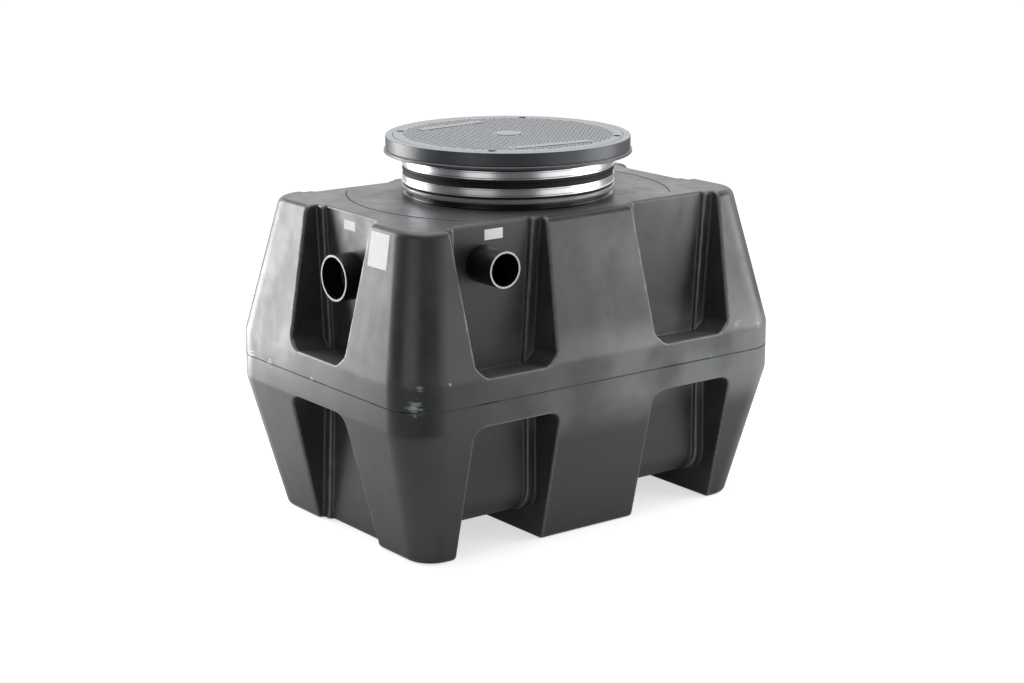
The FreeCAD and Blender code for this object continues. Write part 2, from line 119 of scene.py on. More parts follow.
def tank_distance(x, y, z):
    """Distance to the tank's skin, less than nothing inside.

    A rectangle with round corners, whose sides lean in from the belt to the ground and the deck, is cut
    by the deck and the ground. The bays, the fork channels and the bores of the pipes are taken out of it.
    """
    across, beside = np.abs(x), np.abs(y)
    down, up = z / BELT_LOW, (DECK - z) / (DECK - BELT_HIGH)
    length = leaning_half(LENGTH_FOOT, LENGTH_BELT, LENGTH_DECK, down, up)
    width = leaning_half(WIDTH_FOOT, WIDTH_BELT, WIDTH_DECK, down, up)
    corner = np.interp(z, LEVELS, CORNERS)
    past_x, past_y = across - length + corner, beside - width + corner
    sides = np.hypot(np.maximum(past_x, 0.0), np.maximum(past_y, 0.0)) - corner
    sides = sides + np.minimum(np.maximum(past_x, past_y), 0.0)
    body = round_max(round_max(sides, z - DECK, DECK_ROUND), -z, FOOT_ROUND)

    side_behind, end_behind = WIDTH_BELT - beside, LENGTH_BELT - across
    channel = CHANNEL_ROOF - z
    side_core = -round_max(BAY_DEPTH - side_behind, channel, CHANNEL_ROUND)
    side_panel_core = -round_max(BAY_DEPTH + PANEL_STEP - side_behind, channel, CHANNEL_ROUND)
    hollows = np.minimum(upper_bay(across - BAY_AXIS, side_behind, z), upper_bay(y, end_behind, z))
    hollows = np.minimum(hollows, lower_bay(across - BAY_AXIS, side_behind, z, *SIDE_BAY_HALVES,
                                            side_core, side_panel_core))
    hollows = np.minimum(hollows, lower_bay(y, end_behind, z, *END_BAY_HALVES, end_behind - BAY_DEPTH,
                                            end_behind - BAY_DEPTH - PANEL_STEP))
    end_bore = np.maximum(np.hypot(y, z - END_PIPE_HEIGHT) - END_PIPE_BORE, END_BORE_FROM - across)
    front_bore = np.hypot(x - FRONT_PIPE_X, z - FRONT_PIPE_HEIGHT) - FRONT_PIPE_BORE
    front_bore = np.maximum(front_bore, y + FRONT_BORE_FROM)
    return np.maximum(round_max(body, -hollows, EDGE_ROUND), -np.minimum(end_bore, front_bore))


def slope(distance, points):
    """How fast a distance function changes along each axis, from a half-millimetre step either way."""
    steps = np.eye(3) * 0.5
    return np.stack([distance(*(points + step).T) - distance(*(points - step).T) for step in steps], axis=1)


def zero_surface(distance, low, high, step):
    """Points and quads of the surface where a distance function is zero.

    Each cell of a grid that the surface passes through holds one point, and each grid edge that it
    crosses gives a quad of the four cells round it. The points are slid along the slope onto the
    surface, and evened out between their neighbours.
    """
    axes = [np.arange(a, b + step, step) for a, b in zip(low, high)]
    inside = distance(*np.meshgrid(*axes, indexing="ij", sparse=True)) < 0.0
    count = np.zeros([len(axis) - 1 for axis in axes], int)
    for i, j, k in np.ndindex(2, 2, 2):
        count += inside[i:i + count.shape[0], j:j + count.shape[1], k:k + count.shape[2]]
    crossed = (count > 0) & (count < 8)
    number = np.full(crossed.shape, -1)
    number[crossed] = np.arange(crossed.sum())
    points = np.array([axis[0] for axis in axes]) + (np.argwhere(crossed) + 0.5) * step
    quads = []
    for axis in range(3):
        turned = np.moveaxis(inside, (axis, (axis + 1) % 3, (axis + 2) % 3), (0, 1, 2))
        cells = np.moveaxis(number, (axis, (axis + 1) % 3, (axis + 2) % 3), (0, 1, 2))
        starts = turned[:-1, 1:-1, 1:-1]
        edge = np.argwhere(starts != turned[1:, 1:-1, 1:-1])
        a, u, v = edge.T
        quad = np.stack([cells[a, u, v], cells[a, u + 1, v],
                         cells[a, u + 1, v + 1], cells[a, u, v + 1]], axis=1)
        outward = starts[a, u, v]
        quads.append(np.where(outward[:, None], quad, quad[:, ::-1]))
    quads = np.concatenate(quads)
    links = np.concatenate([quads[:, [i, (i + 1) % 4]] for i in range(4)])
    links = np.concatenate([links, links[:, ::-1]])
    share = np.bincount(links[:, 0], minlength=len(points))[:, None]
    for evening in EVENING:
        middle = np.stack([np.bincount(links[:, 0], points[links[:, 1], c], len(points))
                           for c in range(3)], axis=1)
        points = points + evening * (middle / share - points)
        lean = slope(distance, points)
        reach = distance(*points.T) / np.maximum((lean ** 2).sum(axis=1), 1e-9)
        points = points - np.clip(reach, -step, step)[:, None] * lean
    return points, quads, slope(distance, points)


def mesh_piece(name, points, faces, material, normals=None, marks=None):
    """A smooth-shaded mesh in metres from points in millimetres and faces of one size.

    Only the points that the faces use are kept, with their directions and with any marks, named values.
    """
    used, renumbered = np.unique(faces, return_inverse=True)
    mesh = bpy.data.meshes.new(name)
    mesh.from_pydata((points[used] * MM).tolist(), [], renumbered.reshape(faces.shape).tolist())
    mesh.polygons.foreach_set("use_smooth", np.ones(len(mesh.polygons), bool))
    for mark, values in (marks or {}).items():
        mesh.attributes.new(mark, "FLOAT", "POINT").data.foreach_set("value", values[used])
    if normals is not None:
        lengths = np.linalg.norm(normals[used], axis=1, keepdims=True)
        mesh.normals_split_custom_set_from_vertices((normals[used] / lengths).tolist())
    mesh.materials.append(material)
    mesh.update()
    piece = bpy.data.objects.new(name, mesh)
    bpy.context.collection.objects.link(piece)
    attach(piece, "root")
    return piece


def linear(colour):
    """An sRGB hex colour as linear red, green, blue and alpha."""
    parts = np.array([int(colour[i:i + 2], 16) for i in (1, 3, 5)]) / 255.0
    light = np.where(parts <= 0.04045, parts / 12.92, ((parts + 0.055) / 1.055) ** 2.4)
    return (*light.tolist(), 1.0)


def new_material(name):
    """An empty material, its node tree and its main shader."""
    material = bpy.data.materials.new(name)
    material.use_nodes = True
    return material, material.node_tree, material.node_tree.nodes["Principled BSDF"]


def add_node(tree, kind, settings=None, **links):
    """Add a node, set its properties and values, and link its inputs, each by name or by place, as i0."""
    node = tree.nodes.new(kind)
    placed = {f"i{place}": place for place in range(len(node.inputs))}
    for key, value in (settings or {}).items():
        if key in placed or key in node.inputs.keys():
            node.inputs[placed.get(key, key)].default_value = value
        else:
            setattr(node, key, value)
    for key, socket in links.items():
        tree.links.new(socket, node.inputs[placed.get(key, key)])
    return node


def bend(distance, points, step=3.0):
    """How sharply a surface bends, per millimetre: above nothing at edges and below it in hollows.

    It is the sum of the distances one step away each way, less six times that at the point, over the
    square of the step.
    """
    steps = np.concatenate([np.eye(3), -np.eye(3)]) * step
    return (sum(distance(*(points + away).T) for away in steps) - 6.0 * distance(*points.T)) / step ** 2


# Charcoal polyethylene as it leaves the mould: dark and waxy, slightly wavy, with cloudy bloom, upright
# streaks and grime that dull it. Pale haze lies along the belt's long sides, paler to the right as painted
# light from that side, and dust lies on the deck and the ledges. Convex edges are paled, partly rubbed and
# partly a painted highlight, and a few knocks are white.
tank_plastic, tree, shader = new_material("rotomoulded charcoal polyethylene")
place = add_node(tree, "ShaderNodeTexCoord")
cloud = add_node(tree, "ShaderNodeTexNoise", {"Scale": 1.0 / (140.0 * MM), "Detail": 2.0, "Roughness": 0.5},
                 Vector=place.outputs["Object"])
drawn_up = add_node(tree, "ShaderNodeMapping", {"Scale": (1.0, 1.0, 0.25)}, Vector=place.outputs["Object"])
streak = add_node(tree, "ShaderNodeTexNoise", {"Scale": 1.0 / (55.0 * MM), "Detail": 2.0, "Roughness": 0.5},
                  Vector=drawn_up.outputs["Vector"])
mixed = add_node(tree, "ShaderNodeMix", {"Factor": 0.4}, A=cloud.outputs["Fac"], B=streak.outputs["Fac"])
grime = add_node(tree, "ShaderNodeTexNoise", {"Scale": 1.0 / (28.0 * MM), "Detail": 3.0, "Roughness": 0.6},
                 Vector=place.outputs["Object"])
soiled = add_node(tree, "ShaderNodeMix", {"Factor": 0.3}, A=mixed.outputs["Result"], B=grime.outputs["Fac"])
bloom = add_node(tree, "ShaderNodeMapRange",
                 {"interpolation_type": "SMOOTHSTEP", "From Min": 0.34, "From Max": 0.66},
                 Value=soiled.outputs["Result"])
tint = add_node(tree, "ShaderNodeMix", {"data_type": "RGBA", "A": linear("#26282b"), "B": linear("#3c3e40")},
                Factor=bloom.outputs["Result"])
facing = add_node(tree, "ShaderNodeSeparateXYZ", Vector=place.outputs["Normal"])
spot = add_node(tree, "ShaderNodeSeparateXYZ", Vector=place.outputs["Object"])
near_belt = add_node(tree, "ShaderNodeMath", {"operation": "PINGPONG", "i1": PARTING * MM},
                     i0=spot.outputs["Z"])
belt = add_node(tree, "ShaderNodeMapRange",
                {"interpolation_type": "SMOOTHSTEP", "From Min": (PARTING - HAZE_END) * MM,
                 "From Max": (PARTING - HAZE_FULL) * MM}, Value=near_belt.outputs["Value"])
long_side = add_node(tree, "ShaderNodeMath", {"operation": "ABSOLUTE"}, i0=facing.outputs["Y"])
beside = add_node(tree, "ShaderNodeMath", {"operation": "MULTIPLY"},
                  i0=belt.outputs["Result"], i1=long_side.outputs["Value"])
uneven = add_node(tree, "ShaderNodeMapRange",
                  {"From Min": 0.35, "From Max": 0.6, "To Min": 0.3, "To Max": 0.85},
                  Value=cloud.outputs["Fac"])
patchy = add_node(tree, "ShaderNodeMath", {"operation": "MULTIPLY"},
                  i0=beside.outputs["Value"], i1=uneven.outputs["Result"])
# Painted light: the haze is made paler towards the right, as if the long sides were lit from the right.
along = add_node(tree, "ShaderNodeMapRange",
                 {"From Min": PAINTED_LIGHT_LEFT * MM, "From Max": PAINTED_LIGHT_RIGHT * MM, "To Min": 0.1},
                 Value=spot.outputs["X"])
haze_and_painted_light = add_node(tree, "ShaderNodeMath", {"operation": "MULTIPLY"},
                i0=patchy.outputs["Value"], i1=along.outputs["Result"])
hazed_and_painted_light = add_node(tree, "ShaderNodeMix", {"data_type": "RGBA", "B": linear("#77797a")},
                 Factor=haze_and_painted_light.outputs["Value"], A=tint.outputs["Result"])
settled = add_node(tree, "ShaderNodeMapRange", {"From Min": 0.93, "From Max": 1.0}, Value=facing.outputs["Z"])
dusty = add_node(tree, "ShaderNodeMix", {"data_type": "RGBA", "B": linear("#505254")},
                 Factor=settled.outputs["Result"], A=hazed_and_painted_light.outputs["Result"])
low = add_node(tree, "ShaderNodeMapping", {"Scale": (1.0, 1.0, 2.2)}, Vector=place.outputs["Object"])
fine = add_node(tree, "ShaderNodeTexNoise", {"Scale": 1.0 / (14.0 * MM), "Detail": 5.0, "Roughness": 0.7},
                Vector=low.outputs["Vector"])
# Painted highlight: convex edges are paled, partly as rubbed wear and partly as a highlight along each edge.
edge = add_node(tree, "ShaderNodeAttribute", {"attribute_name": "edge"})
rub = add_node(tree, "ShaderNodeMath", {"operation": "MULTIPLY"},
               i0=edge.outputs["Fac"], i1=fine.outputs["Fac"])
rubbed = add_node(tree, "ShaderNodeMix", {"data_type": "RGBA", "B": linear("#8d8f90")},
                  Factor=rub.outputs["Value"], A=dusty.outputs["Result"])
knock = add_node(tree, "ShaderNodeAttribute", {"attribute_name": "knock"})
speck = add_node(tree, "ShaderNodeMath", {"operation": "MULTIPLY"},
                 i0=knock.outputs["Fac"], i1=fine.outputs["Fac"])
white = add_node(tree, "ShaderNodeMapRange", {"From Min": 0.36, "From Max": 0.56},
                 Value=speck.outputs["Value"])
knocked = add_node(tree, "ShaderNodeMix", {"data_type": "RGBA", "B": linear("#a4aaab")},
                   Factor=white.outputs["Result"], A=rubbed.outputs["Result"])
tree.links.new(knocked.outputs["Result"], shader.inputs["Base Color"])
dull = add_node(tree, "ShaderNodeMapRange", {"To Min": 0.285, "To Max": 0.4}, Value=bloom.outputs["Result"])
matt = add_node(tree, "ShaderNodeMath", {"operation": "MULTIPLY_ADD", "i1": 0.05},
                i0=settled.outputs["Result"], i2=dull.outputs["Result"])
tree.links.new(matt.outputs["Value"], shader.inputs["Roughness"])
gloss = add_node(tree, "ShaderNodeMapRange", {"To Min": 1.58, "To Max": 1.42}, Value=bloom.outputs["Result"])
tree.links.new(gloss.outputs["Result"], shader.inputs["IOR"])
waves = add_node(tree, "ShaderNodeBump", {"Strength": 0.4, "Distance": 1.0 * MM},
                 Height=mixed.outputs["Result"])
tree.links.new(waves.outputs["Normal"], shader.inputs["Normal"])

points, quads, normals = zero_surface(tank_distance, GRID_LOW, GRID_HIGH, GRID)
middle_x, middle_y, middle_z = points[quads].mean(axis=1).T
is_side = np.abs(middle_y) - CORE_WIDTH > np.abs(middle_x) - CORE_LENGTH
is_lower = middle_z < PARTING
is_deck = middle_z > DECK_UNDER
is_floor = is_lower & (np.abs(middle_x) < CORE_LENGTH) & (np.abs(middle_y) < CORE_WIDTH)
is_wall = ~is_deck & ~is_floor
parts = {"floor": is_floor, "deck": is_deck}
for half_name, in_half in (("lower", is_wall & is_lower), ("upper", is_wall & ~is_lower)):
    parts[half_name + "_front_wall"] = in_half & is_side & (middle_y < 0.0)
    parts[half_name + "_rear_wall"] = in_half & is_side & (middle_y >= 0.0)
    parts[half_name + "_left_end_wall"] = in_half & ~is_side & (middle_x < 0.0)
    parts[half_name + "_right_end_wall"] = in_half & ~is_side & (middle_x >= 0.0)
from_knock = np.linalg.norm(points[:, None] - KNOCKS[:, :3], axis=2) / KNOCKS[:, 3]
marks = {"edge": np.clip(EDGE_ROUND * bend(tank_distance, points) - EDGE_BEND, 0.0, 1.0),
         "knock": np.exp(-from_knock ** 2).max(axis=1)}
for node, chosen in parts.items():
    skin = mesh_piece("moulded_" + node, points, quads[chosen], tank_plastic, normals, marks)
    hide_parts(node)

# Moulding lines. The two halves of the mould close round the middle of the belt and leave a thin trimmed
# seam there. Two shallow arcs on the deck, left of the neck and right of it, mark where a riser may stand.
SEAM_WIDTH, SEAM_RISE = 2.6, 0.7
ARC_RADIUS, ARC_WIDTH, ARC_RISE = 405.0, 3.2, 0.8
ARC_HALF_ANGLE, ARC_POINTS = 40.0, 120
BEAD_SIDES, TAPER_RATE, TAPER_END = 12, 20.0, 0.02
QUARTERS = ((-1, -1), (1, -1), (1, 1), (-1, 1))


def rounded_outline(corners, steps=6):
    """A closed outline and its outward directions from rows of (first, second, rounding), anticlockwise.

    Each corner gives way to an arc that touches both its sides. The arc turns evenly from one touching
    point to the other, and its centre lies inside the outline where the corner sticks out.
    """
    place, rounding = np.split(np.array(corners, float), [2], axis=1)
    back, ahead = np.roll(place, 1, axis=0) - place, np.roll(place, -1, axis=0) - place
    back = back / np.linalg.norm(back, axis=1, keepdims=True)
    ahead = ahead / np.linalg.norm(ahead, axis=1, keepdims=True)
    half = np.arccos(np.clip((back * ahead).sum(axis=1, keepdims=True), -1.0, 1.0)) / 2.0
    to_centre = (back + ahead) / np.linalg.norm(back + ahead, axis=1, keepdims=True)
    centre = place + to_centre * rounding / np.sin(half)
    start = place + back * rounding / np.tan(half) - centre
    end = place + ahead * rounding / np.tan(half) - centre
    sweep = (np.pi - 2.0 * half)[:, None]
    share = np.linspace(0.0, 1.0, steps)[None, :, None]
    arc = np.sin((1.0 - share) * sweep) * start[:, None] + np.sin(share * sweep) * end[:, None]
    arc = arc / np.sin(sweep)
    sticks_out = np.sign(ahead[:, :1] * back[:, 1:] - ahead[:, 1:] * back[:, :1])
    outward = sticks_out[:, None] * arc / rounding[:, None]
    return (arc + centre[:, None]).reshape(-1, 2), outward.reshape(-1, 2)


def grid_quads(rows, columns, round_rows, round_columns):
    """Quads between neighbouring points of a grid, joined past its last row or column where it goes round."""
    row, column = np.meshgrid(np.arange(rows - (not round_rows)),
                              np.arange(columns - (not round_columns)), indexing="ij")
    row, column = row.ravel(), column.ravel()
    below, beside = (row + 1) % rows, (column + 1) % columns
    return np.stack([row * columns + column, below * columns + column,
                     below * columns + beside, row * columns + beside], axis=1)


def bead(path, out, width, rise, closed):
    """An oval bead half sunk in a surface: at each point of the path an ellipse of its width and rise.

    The ellipse lies across the path, between the direction out of the surface and that along it, and an
    open path thins out towards its two ends.
    """
    turn = np.linspace(0.0, 2.0 * np.pi, BEAD_SIDES, endpoint=False)[None, :, None]
    ahead = np.gradient(path, axis=0)
    if closed:
        ahead = np.roll(path, -1, axis=0) - np.roll(path, 1, axis=0)
    side = np.cross(ahead, out)
    side = side / np.linalg.norm(side, axis=1, keepdims=True)
    run = np.linspace(0.0, 1.0, len(path))[:, None, None]
    taper = 1.0 if closed else np.clip(np.minimum(run, 1.0 - run) * TAPER_RATE, TAPER_END, 1.0)
    ring = side[:, None] * np.cos(turn) * width / 2.0 + out[:, None] * np.sin(turn) * rise
    return (path[:, None] + taper * ring).reshape(-1, 3), grid_quads(len(path), turn.size, closed, True)


# The same polyethylene where the mould pinched it: dull, and coloured dark along some lengths only, as
# painted shade of the fine line at the seam and at the deck arcs.
seam_plastic, tree, shader = new_material("pinched polyethylene seam")
place = add_node(tree, "ShaderNodeTexCoord")
seam_shade_noise = add_node(tree, "ShaderNodeTexNoise", {"Scale": 1.0 / (120.0 * MM), "Detail": 3.0},
                Vector=place.outputs["Object"])
faint = add_node(tree, "ShaderNodeMapRange",
                 {"interpolation_type": "SMOOTHSTEP", "From Min": 0.34, "From Max": 0.54},
                 Value=seam_shade_noise.outputs["Fac"])
# Painted shade: the dark tone stands for the shadow along the fine seam line, and the paler lengths let it
# fade.
tint = add_node(tree, "ShaderNodeMix", {"data_type": "RGBA", "A": linear("#151617"), "B": linear("#444648")},
                Factor=faint.outputs["Result"])
tree.links.new(tint.outputs["Result"], shader.inputs["Base Color"])
shader.inputs["Roughness"].default_value = 0.8
shader.inputs["Specular IOR Level"].default_value = 0.15

outline, outward = rounded_outline([(s * LENGTH_BELT, t * WIDTH_BELT, CORNERS[1])
                                    for s, t in QUARTERS], 28)
height = np.full((len(outline), 1), PARTING)
points, quads = bead(np.hstack([outline, height]), np.hstack([outward, 0.0 * height]),
                     SEAM_WIDTH, SEAM_RISE, True)
seam = mesh_piece("mould_seam", points, quads, seam_plastic)
for side_name, middle_angle in (("left", np.pi), ("right", 0.0)):
    angle = middle_angle + np.radians(np.linspace(-ARC_HALF_ANGLE, ARC_HALF_ANGLE, ARC_POINTS))
    away = np.stack([np.cos(angle), np.sin(angle), 0.0 * angle], axis=1)
    points, quads = bead(ARC_RADIUS * away + [0.0, 0.0, DECK], np.broadcast_to([0.0, 0.0, 1.0], away.shape),
                         ARC_WIDTH, ARC_RISE, False)
    arc = mesh_piece("deck_arc_" + side_name, points, quads, seam_plastic)

# Pipe stubs. Lengths of black drain pipe welded into the panels of the bays, a wide one at each end and a
# narrower one in a front bay. They are sawn off square, and the sawn rings are pale.
END_PIPE_RADIUS, END_PIPE_REACH, END_PANEL = 57.15, 55.0, 466.5
FRONT_PIPE_RADIUS, FRONT_PIPE_REACH, FRONT_PANEL = 44.45, 93.0, 293.5
SAW_BEVEL, SAW_INSET, SAWN_DEPTH = 2.5, 0.9, 1.5
PIPE_COUNT = 128


def turned_surface(corners, count, steps=5):
    """A closed profile of radii and heights carried round the upright axis, with its outward directions."""
    outline, outward = rounded_outline(corners, steps)
    turn = np.linspace(0.0, 2.0 * np.pi, count, endpoint=False)[:, None]
    points, normals = [
        np.stack([flat[:, 0] * np.cos(turn), flat[:, 0] * np.sin(turn), flat[:, 1] + 0.0 * turn], axis=-1)
        for flat in (outline, outward)]
    return points.reshape(-1, 3), grid_quads(count, len(outline), True, True), normals.reshape(-1, 3)


# Extruded black pipe plastic: nearly black and fairly glossy, with a dull pale grey where the saw cut it.
pipe_plastic, tree, shader = new_material("extruded black pipe plastic")
place = add_node(tree, "ShaderNodeTexCoord")
grime = add_node(tree, "ShaderNodeTexNoise", {"Scale": 1.0 / (30.0 * MM), "Detail": 4.0},
                 Vector=place.outputs["Object"])
sawn = add_node(tree, "ShaderNodeAttribute", {"attribute_name": "sawn"})
black = add_node(tree, "ShaderNodeMix", {"data_type": "RGBA", "A": linear("#0a0a0b"), "B": linear("#161617")},
                 Factor=grime.outputs["Fac"])
pale = add_node(tree, "ShaderNodeMix", {"data_type": "RGBA", "A": linear("#b9babb"), "B": linear("#dcdcdc")},
                Factor=grime.outputs["Fac"])
tint = add_node(tree, "ShaderNodeMix", {"data_type": "RGBA"}, Factor=sawn.outputs["Fac"],
                A=black.outputs["Result"], B=pale.outputs["Result"])
tree.links.new(tint.outputs["Result"], shader.inputs["Base Color"])
dull = add_node(tree, "ShaderNodeMapRange", {"To Min": 0.36, "To Max": 0.6}, Value=sawn.outputs["Fac"])
tree.links.new(dull.outputs["Result"], shader.inputs["Roughness"])
shader.inputs["Specular IOR Level"].default_value = 0.3

for node, radius, bore, reach, origin, axes in (
        ("left_end_pipe", END_PIPE_RADIUS, END_PIPE_BORE, END_PIPE_REACH, (-END_PANEL, 0.0, END_PIPE_HEIGHT),
         ((0, 0, 1), (0, 1, 0), (-1, 0, 0))),
        ("right_end_pipe", END_PIPE_RADIUS, END_PIPE_BORE, END_PIPE_REACH, (END_PANEL, 0.0, END_PIPE_HEIGHT),
         ((0, 1, 0), (0, 0, 1), (1, 0, 0))),
        ("front_pipe", FRONT_PIPE_RADIUS, FRONT_PIPE_BORE, FRONT_PIPE_REACH,
         (FRONT_PIPE_X, -FRONT_PANEL, FRONT_PIPE_HEIGHT), ((1, 0, 0), (0, 0, 1), (0, -1, 0)))):
    points, quads, normals = turned_surface([
        (radius, 0.0, 0.3), (radius, reach - SAW_BEVEL, 0.5), (radius - SAW_INSET, reach, 0.5),
        (bore, reach, 0.6), (bore, 0.0, 0.3)], PIPE_COUNT)
    ring = ((normals[:, 2] > 0.5) & (points[:, 2] > reach - SAWN_DEPTH)).astype(float)
    axes = np.array(axes, float)
    stub = mesh_piece("sawn_" + node, points @ axes + origin, quads, pipe_plastic, normals @ axes,
                      {"sawn": ring})
    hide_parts(node)

# Neck. It is moulded with the deck: a low foot close round it, a thick bead that stops the rubber sleeve,
# and a plain spigot that the sleeve is pushed over.
NECK_RADIUS, NECK_BORE, NECK_TOP = 256.0, 244.0, 862.0
BEAD_RADIUS, BEAD_LOW, BEAD_HIGH = 267.5, 814.0, 828.0
FOOT_RADIUS, WAIST_RADIUS = 262.0, 256.5
RUB_REACH, RUB_FADE = 4.0, 3.0
COVER_COUNT = 192

# The neck comes off a polished ring in the mould: glossy, coloured near black, darker than the tank, as
# painted shade under the cover, and its thick bead is rubbed grey.
neck_plastic, tree, shader = new_material("polished charcoal polyethylene")
place = add_node(tree, "ShaderNodeTexCoord")
cloud = add_node(tree, "ShaderNodeTexNoise", {"Scale": 1.0 / (70.0 * MM), "Detail": 4.0},
                 Vector=place.outputs["Object"])
# Painted shade: the near-black tone is darker than the tank's own plastic, for the shade under the cover.
tint = add_node(tree, "ShaderNodeMix", {"data_type": "RGBA", "A": linear("#0b0b0c"), "B": linear("#161617")},
                Factor=cloud.outputs["Fac"])
rubbed = add_node(tree, "ShaderNodeAttribute", {"attribute_name": "rubbed"})
greyed = add_node(tree, "ShaderNodeMix", {"data_type": "RGBA", "B": linear("#7d7e80")},
                  Factor=rubbed.outputs["Fac"], A=tint.outputs["Result"])
tree.links.new(greyed.outputs["Result"], shader.inputs["Base Color"])
dull = add_node(tree, "ShaderNodeMapRange", {"To Min": 0.17, "To Max": 0.26}, Value=cloud.outputs["Fac"])
tree.links.new(dull.outputs["Result"], shader.inputs["Roughness"])
shader.inputs["IOR"].default_value = 1.51

points, quads, normals = turned_surface([
    (NECK_BORE, DECK - 2.0, 0.5), (FOOT_RADIUS, DECK - 2.0, 0.5), (FOOT_RADIUS, DECK + 0.3, 0.4),
    (WAIST_RADIUS, DECK + 0.8, 3.0), (WAIST_RADIUS, BEAD_LOW, 1.0), (BEAD_RADIUS, BEAD_LOW, 5.0),
    (BEAD_RADIUS, BEAD_HIGH, 6.0), (NECK_RADIUS, BEAD_HIGH, 0.6), (NECK_RADIUS, NECK_TOP, 1.5),
    (NECK_BORE, NECK_TOP, 1.5)], COVER_COUNT)
rub = np.clip((np.hypot(points[:, 0], points[:, 1]) - BEAD_RADIUS + RUB_REACH) / RUB_FADE, 0.0, 1.0)
rub = rub * (points[:, 2] > BEAD_LOW)
neck = mesh_piece("moulded_neck", points, quads, neck_plastic, normals, {"rubbed": rub})
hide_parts("neck")

# Rubber sleeve. A moulded black rubber tube over the neck and the cover's skirt, with a thick edge at its
# top and bottom, flat seats for the two bands, and a narrow rib between them.
SLEEVE_IN, SLEEVE_OUT, SLEEVE_EDGE = 256.3, 262.3, 264.2
SLEEVE_LOW, SLEEVE_HIGH = 828.2, 900.0
RIB_LOW, RIB_HIGH, RIB_RADIUS = 861.5, 866.0, 264.6

# Moulded black rubber: almost no gloss, faint pale bloom, and a fine matt grain.
sleeve_rubber, tree, shader = new_material("moulded black rubber")
place = add_node(tree, "ShaderNodeTexCoord")
grain = add_node(tree, "ShaderNodeTexNoise", {"Scale": 1.0 / (3.0 * MM), "Detail": 3.0},
                 Vector=place.outputs["Object"])
tint = add_node(tree, "ShaderNodeMix", {"data_type": "RGBA", "A": linear("#070708"), "B": linear("#121213")},
                Factor=grain.outputs["Fac"])
tree.links.new(tint.outputs["Result"], shader.inputs["Base Color"])
shader.inputs["Roughness"].default_value = 0.62
shader.inputs["Specular IOR Level"].default_value = 0.3
lumps = add_node(tree, "ShaderNodeBump", {"Strength": 0.3, "Distance": 0.3 * MM}, Height=grain.outputs["Fac"])
tree.links.new(lumps.outputs["Normal"], shader.inputs["Normal"])

points, quads, normals = turned_surface([
    (SLEEVE_IN, SLEEVE_LOW, 0.6), (SLEEVE_EDGE, SLEEVE_LOW, 1.0), (SLEEVE_EDGE, SLEEVE_LOW + 3.0, 1.0),
    (SLEEVE_OUT, SLEEVE_LOW + 4.5, 0.6), (SLEEVE_OUT, RIB_LOW, 0.8), (RIB_RADIUS, RIB_LOW + 0.8, 0.8),
    (RIB_RADIUS, RIB_HIGH - 0.8, 0.8), (SLEEVE_OUT, RIB_HIGH, 0.8), (SLEEVE_OUT, SLEEVE_HIGH - 5.0, 0.6),
    (SLEEVE_EDGE, SLEEVE_HIGH - 3.8, 1.0), (SLEEVE_EDGE, SLEEVE_HIGH, 1.0), (SLEEVE_IN, SLEEVE_HIGH, 0.6)],
    COVER_COUNT, 4)
sleeve = mesh_piece("clamped_rubber_sleeve", points, quads, sleeve_rubber, normals)
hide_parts("rubber_sleeve")

# Steel bands. Two stainless strips with rolled edges draw the sleeve tight, one on the neck and one on the
# cover's skirt. Each laps over itself, and its lapped end shows as a low step.
BAND_IN, BAND_OUT, BAND_EDGE, BAND_ROLL, BAND_HEIGHT = 262.6, 264.2, 265.6, 1.4, 20.5
BAND_BASES = {"lower": 832.0, "upper": 874.0}
# From where to where each band runs under its lap, in degrees.
BAND_LAPS = {"lower": (-165.0, -65.0), "upper": (-180.0, -74.0)}
LAP_DROP, LAP_STEP = 0.5, np.radians(0.5)
BAND_COUNT = 720

# Cold-rolled stainless strip: bright, with fine lines along its length that stretch its reflections upright.
band_steel, tree, shader = new_material("cold rolled stainless strip")
place = add_node(tree, "ShaderNodeTexCoord")
squeeze = add_node(tree, "ShaderNodeMapping", {"Scale": (1.0, 1.0, 60.0)}, Vector=place.outputs["Object"])
lines = add_node(tree, "ShaderNodeTexNoise", {"Scale": 1.0 / (60.0 * MM), "Detail": 2.0},
                 Vector=squeeze.outputs["Vector"])
tint = add_node(tree, "ShaderNodeMix", {"data_type": "RGBA", "A": linear("#cfd0d3"), "B": linear("#dedee0")},
                Factor=lines.outputs["Fac"])
tree.links.new(tint.outputs["Result"], shader.inputs["Base Color"])
shader.inputs["Metallic"].default_value = 1.0
shader.inputs["Roughness"].default_value = 0.28

for level_name, base in BAND_BASES.items():
    top = base + BAND_HEIGHT
    points, quads, normals = turned_surface([
        (BAND_IN, base, 0.4), (BAND_EDGE, base, 0.6), (BAND_EDGE, base + 2.0 * BAND_ROLL, 0.6),
        (BAND_OUT, base + 3.0 * BAND_ROLL, 0.6), (BAND_OUT, top - 3.0 * BAND_ROLL, 0.6),
        (BAND_EDGE, top - 2.0 * BAND_ROLL, 0.6), (BAND_EDGE, top, 0.6), (BAND_IN, top, 0.4)], BAND_COUNT, 4)
    radius = np.hypot(points[:, 0], points[:, 1])
    angle = np.arctan2(points[:, 1], points[:, 0])
    lap_from, lap_to = np.radians(BAND_LAPS[level_name])
    lapped = (np.clip((angle - lap_from) / LAP_STEP, 0.0, 1.0)
              * np.clip((lap_to - angle) / LAP_STEP, 0.0, 1.0) * (radius > BAND_IN + 0.5))
    points[:, :2] = points[:, :2] * (1.0 - LAP_DROP * lapped / radius)[:, None]
    strip = mesh_piece(level_name + "_steel_strip", points, quads, band_steel, normals)
    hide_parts(level_name + "_band")

# Band screws. At the back each band is drawn tight by a hexagon-headed screw in a pressed housing, which is
# riveted to the strip.
SCREW_AXIS_Y, SCREW_HALF_LENGTH, SCREW_RADIUS, SCREW_HEAD_RADIUS, SCREW_HEAD = 273.6, 31.0, 3.2, 5.4, 6.0
HOUSING_HALF_LENGTH, HOUSING_HALF_HEIGHT, HOUSING_IN, HOUSING_OUT = 14.0, 7.5, 264.0, 279.6


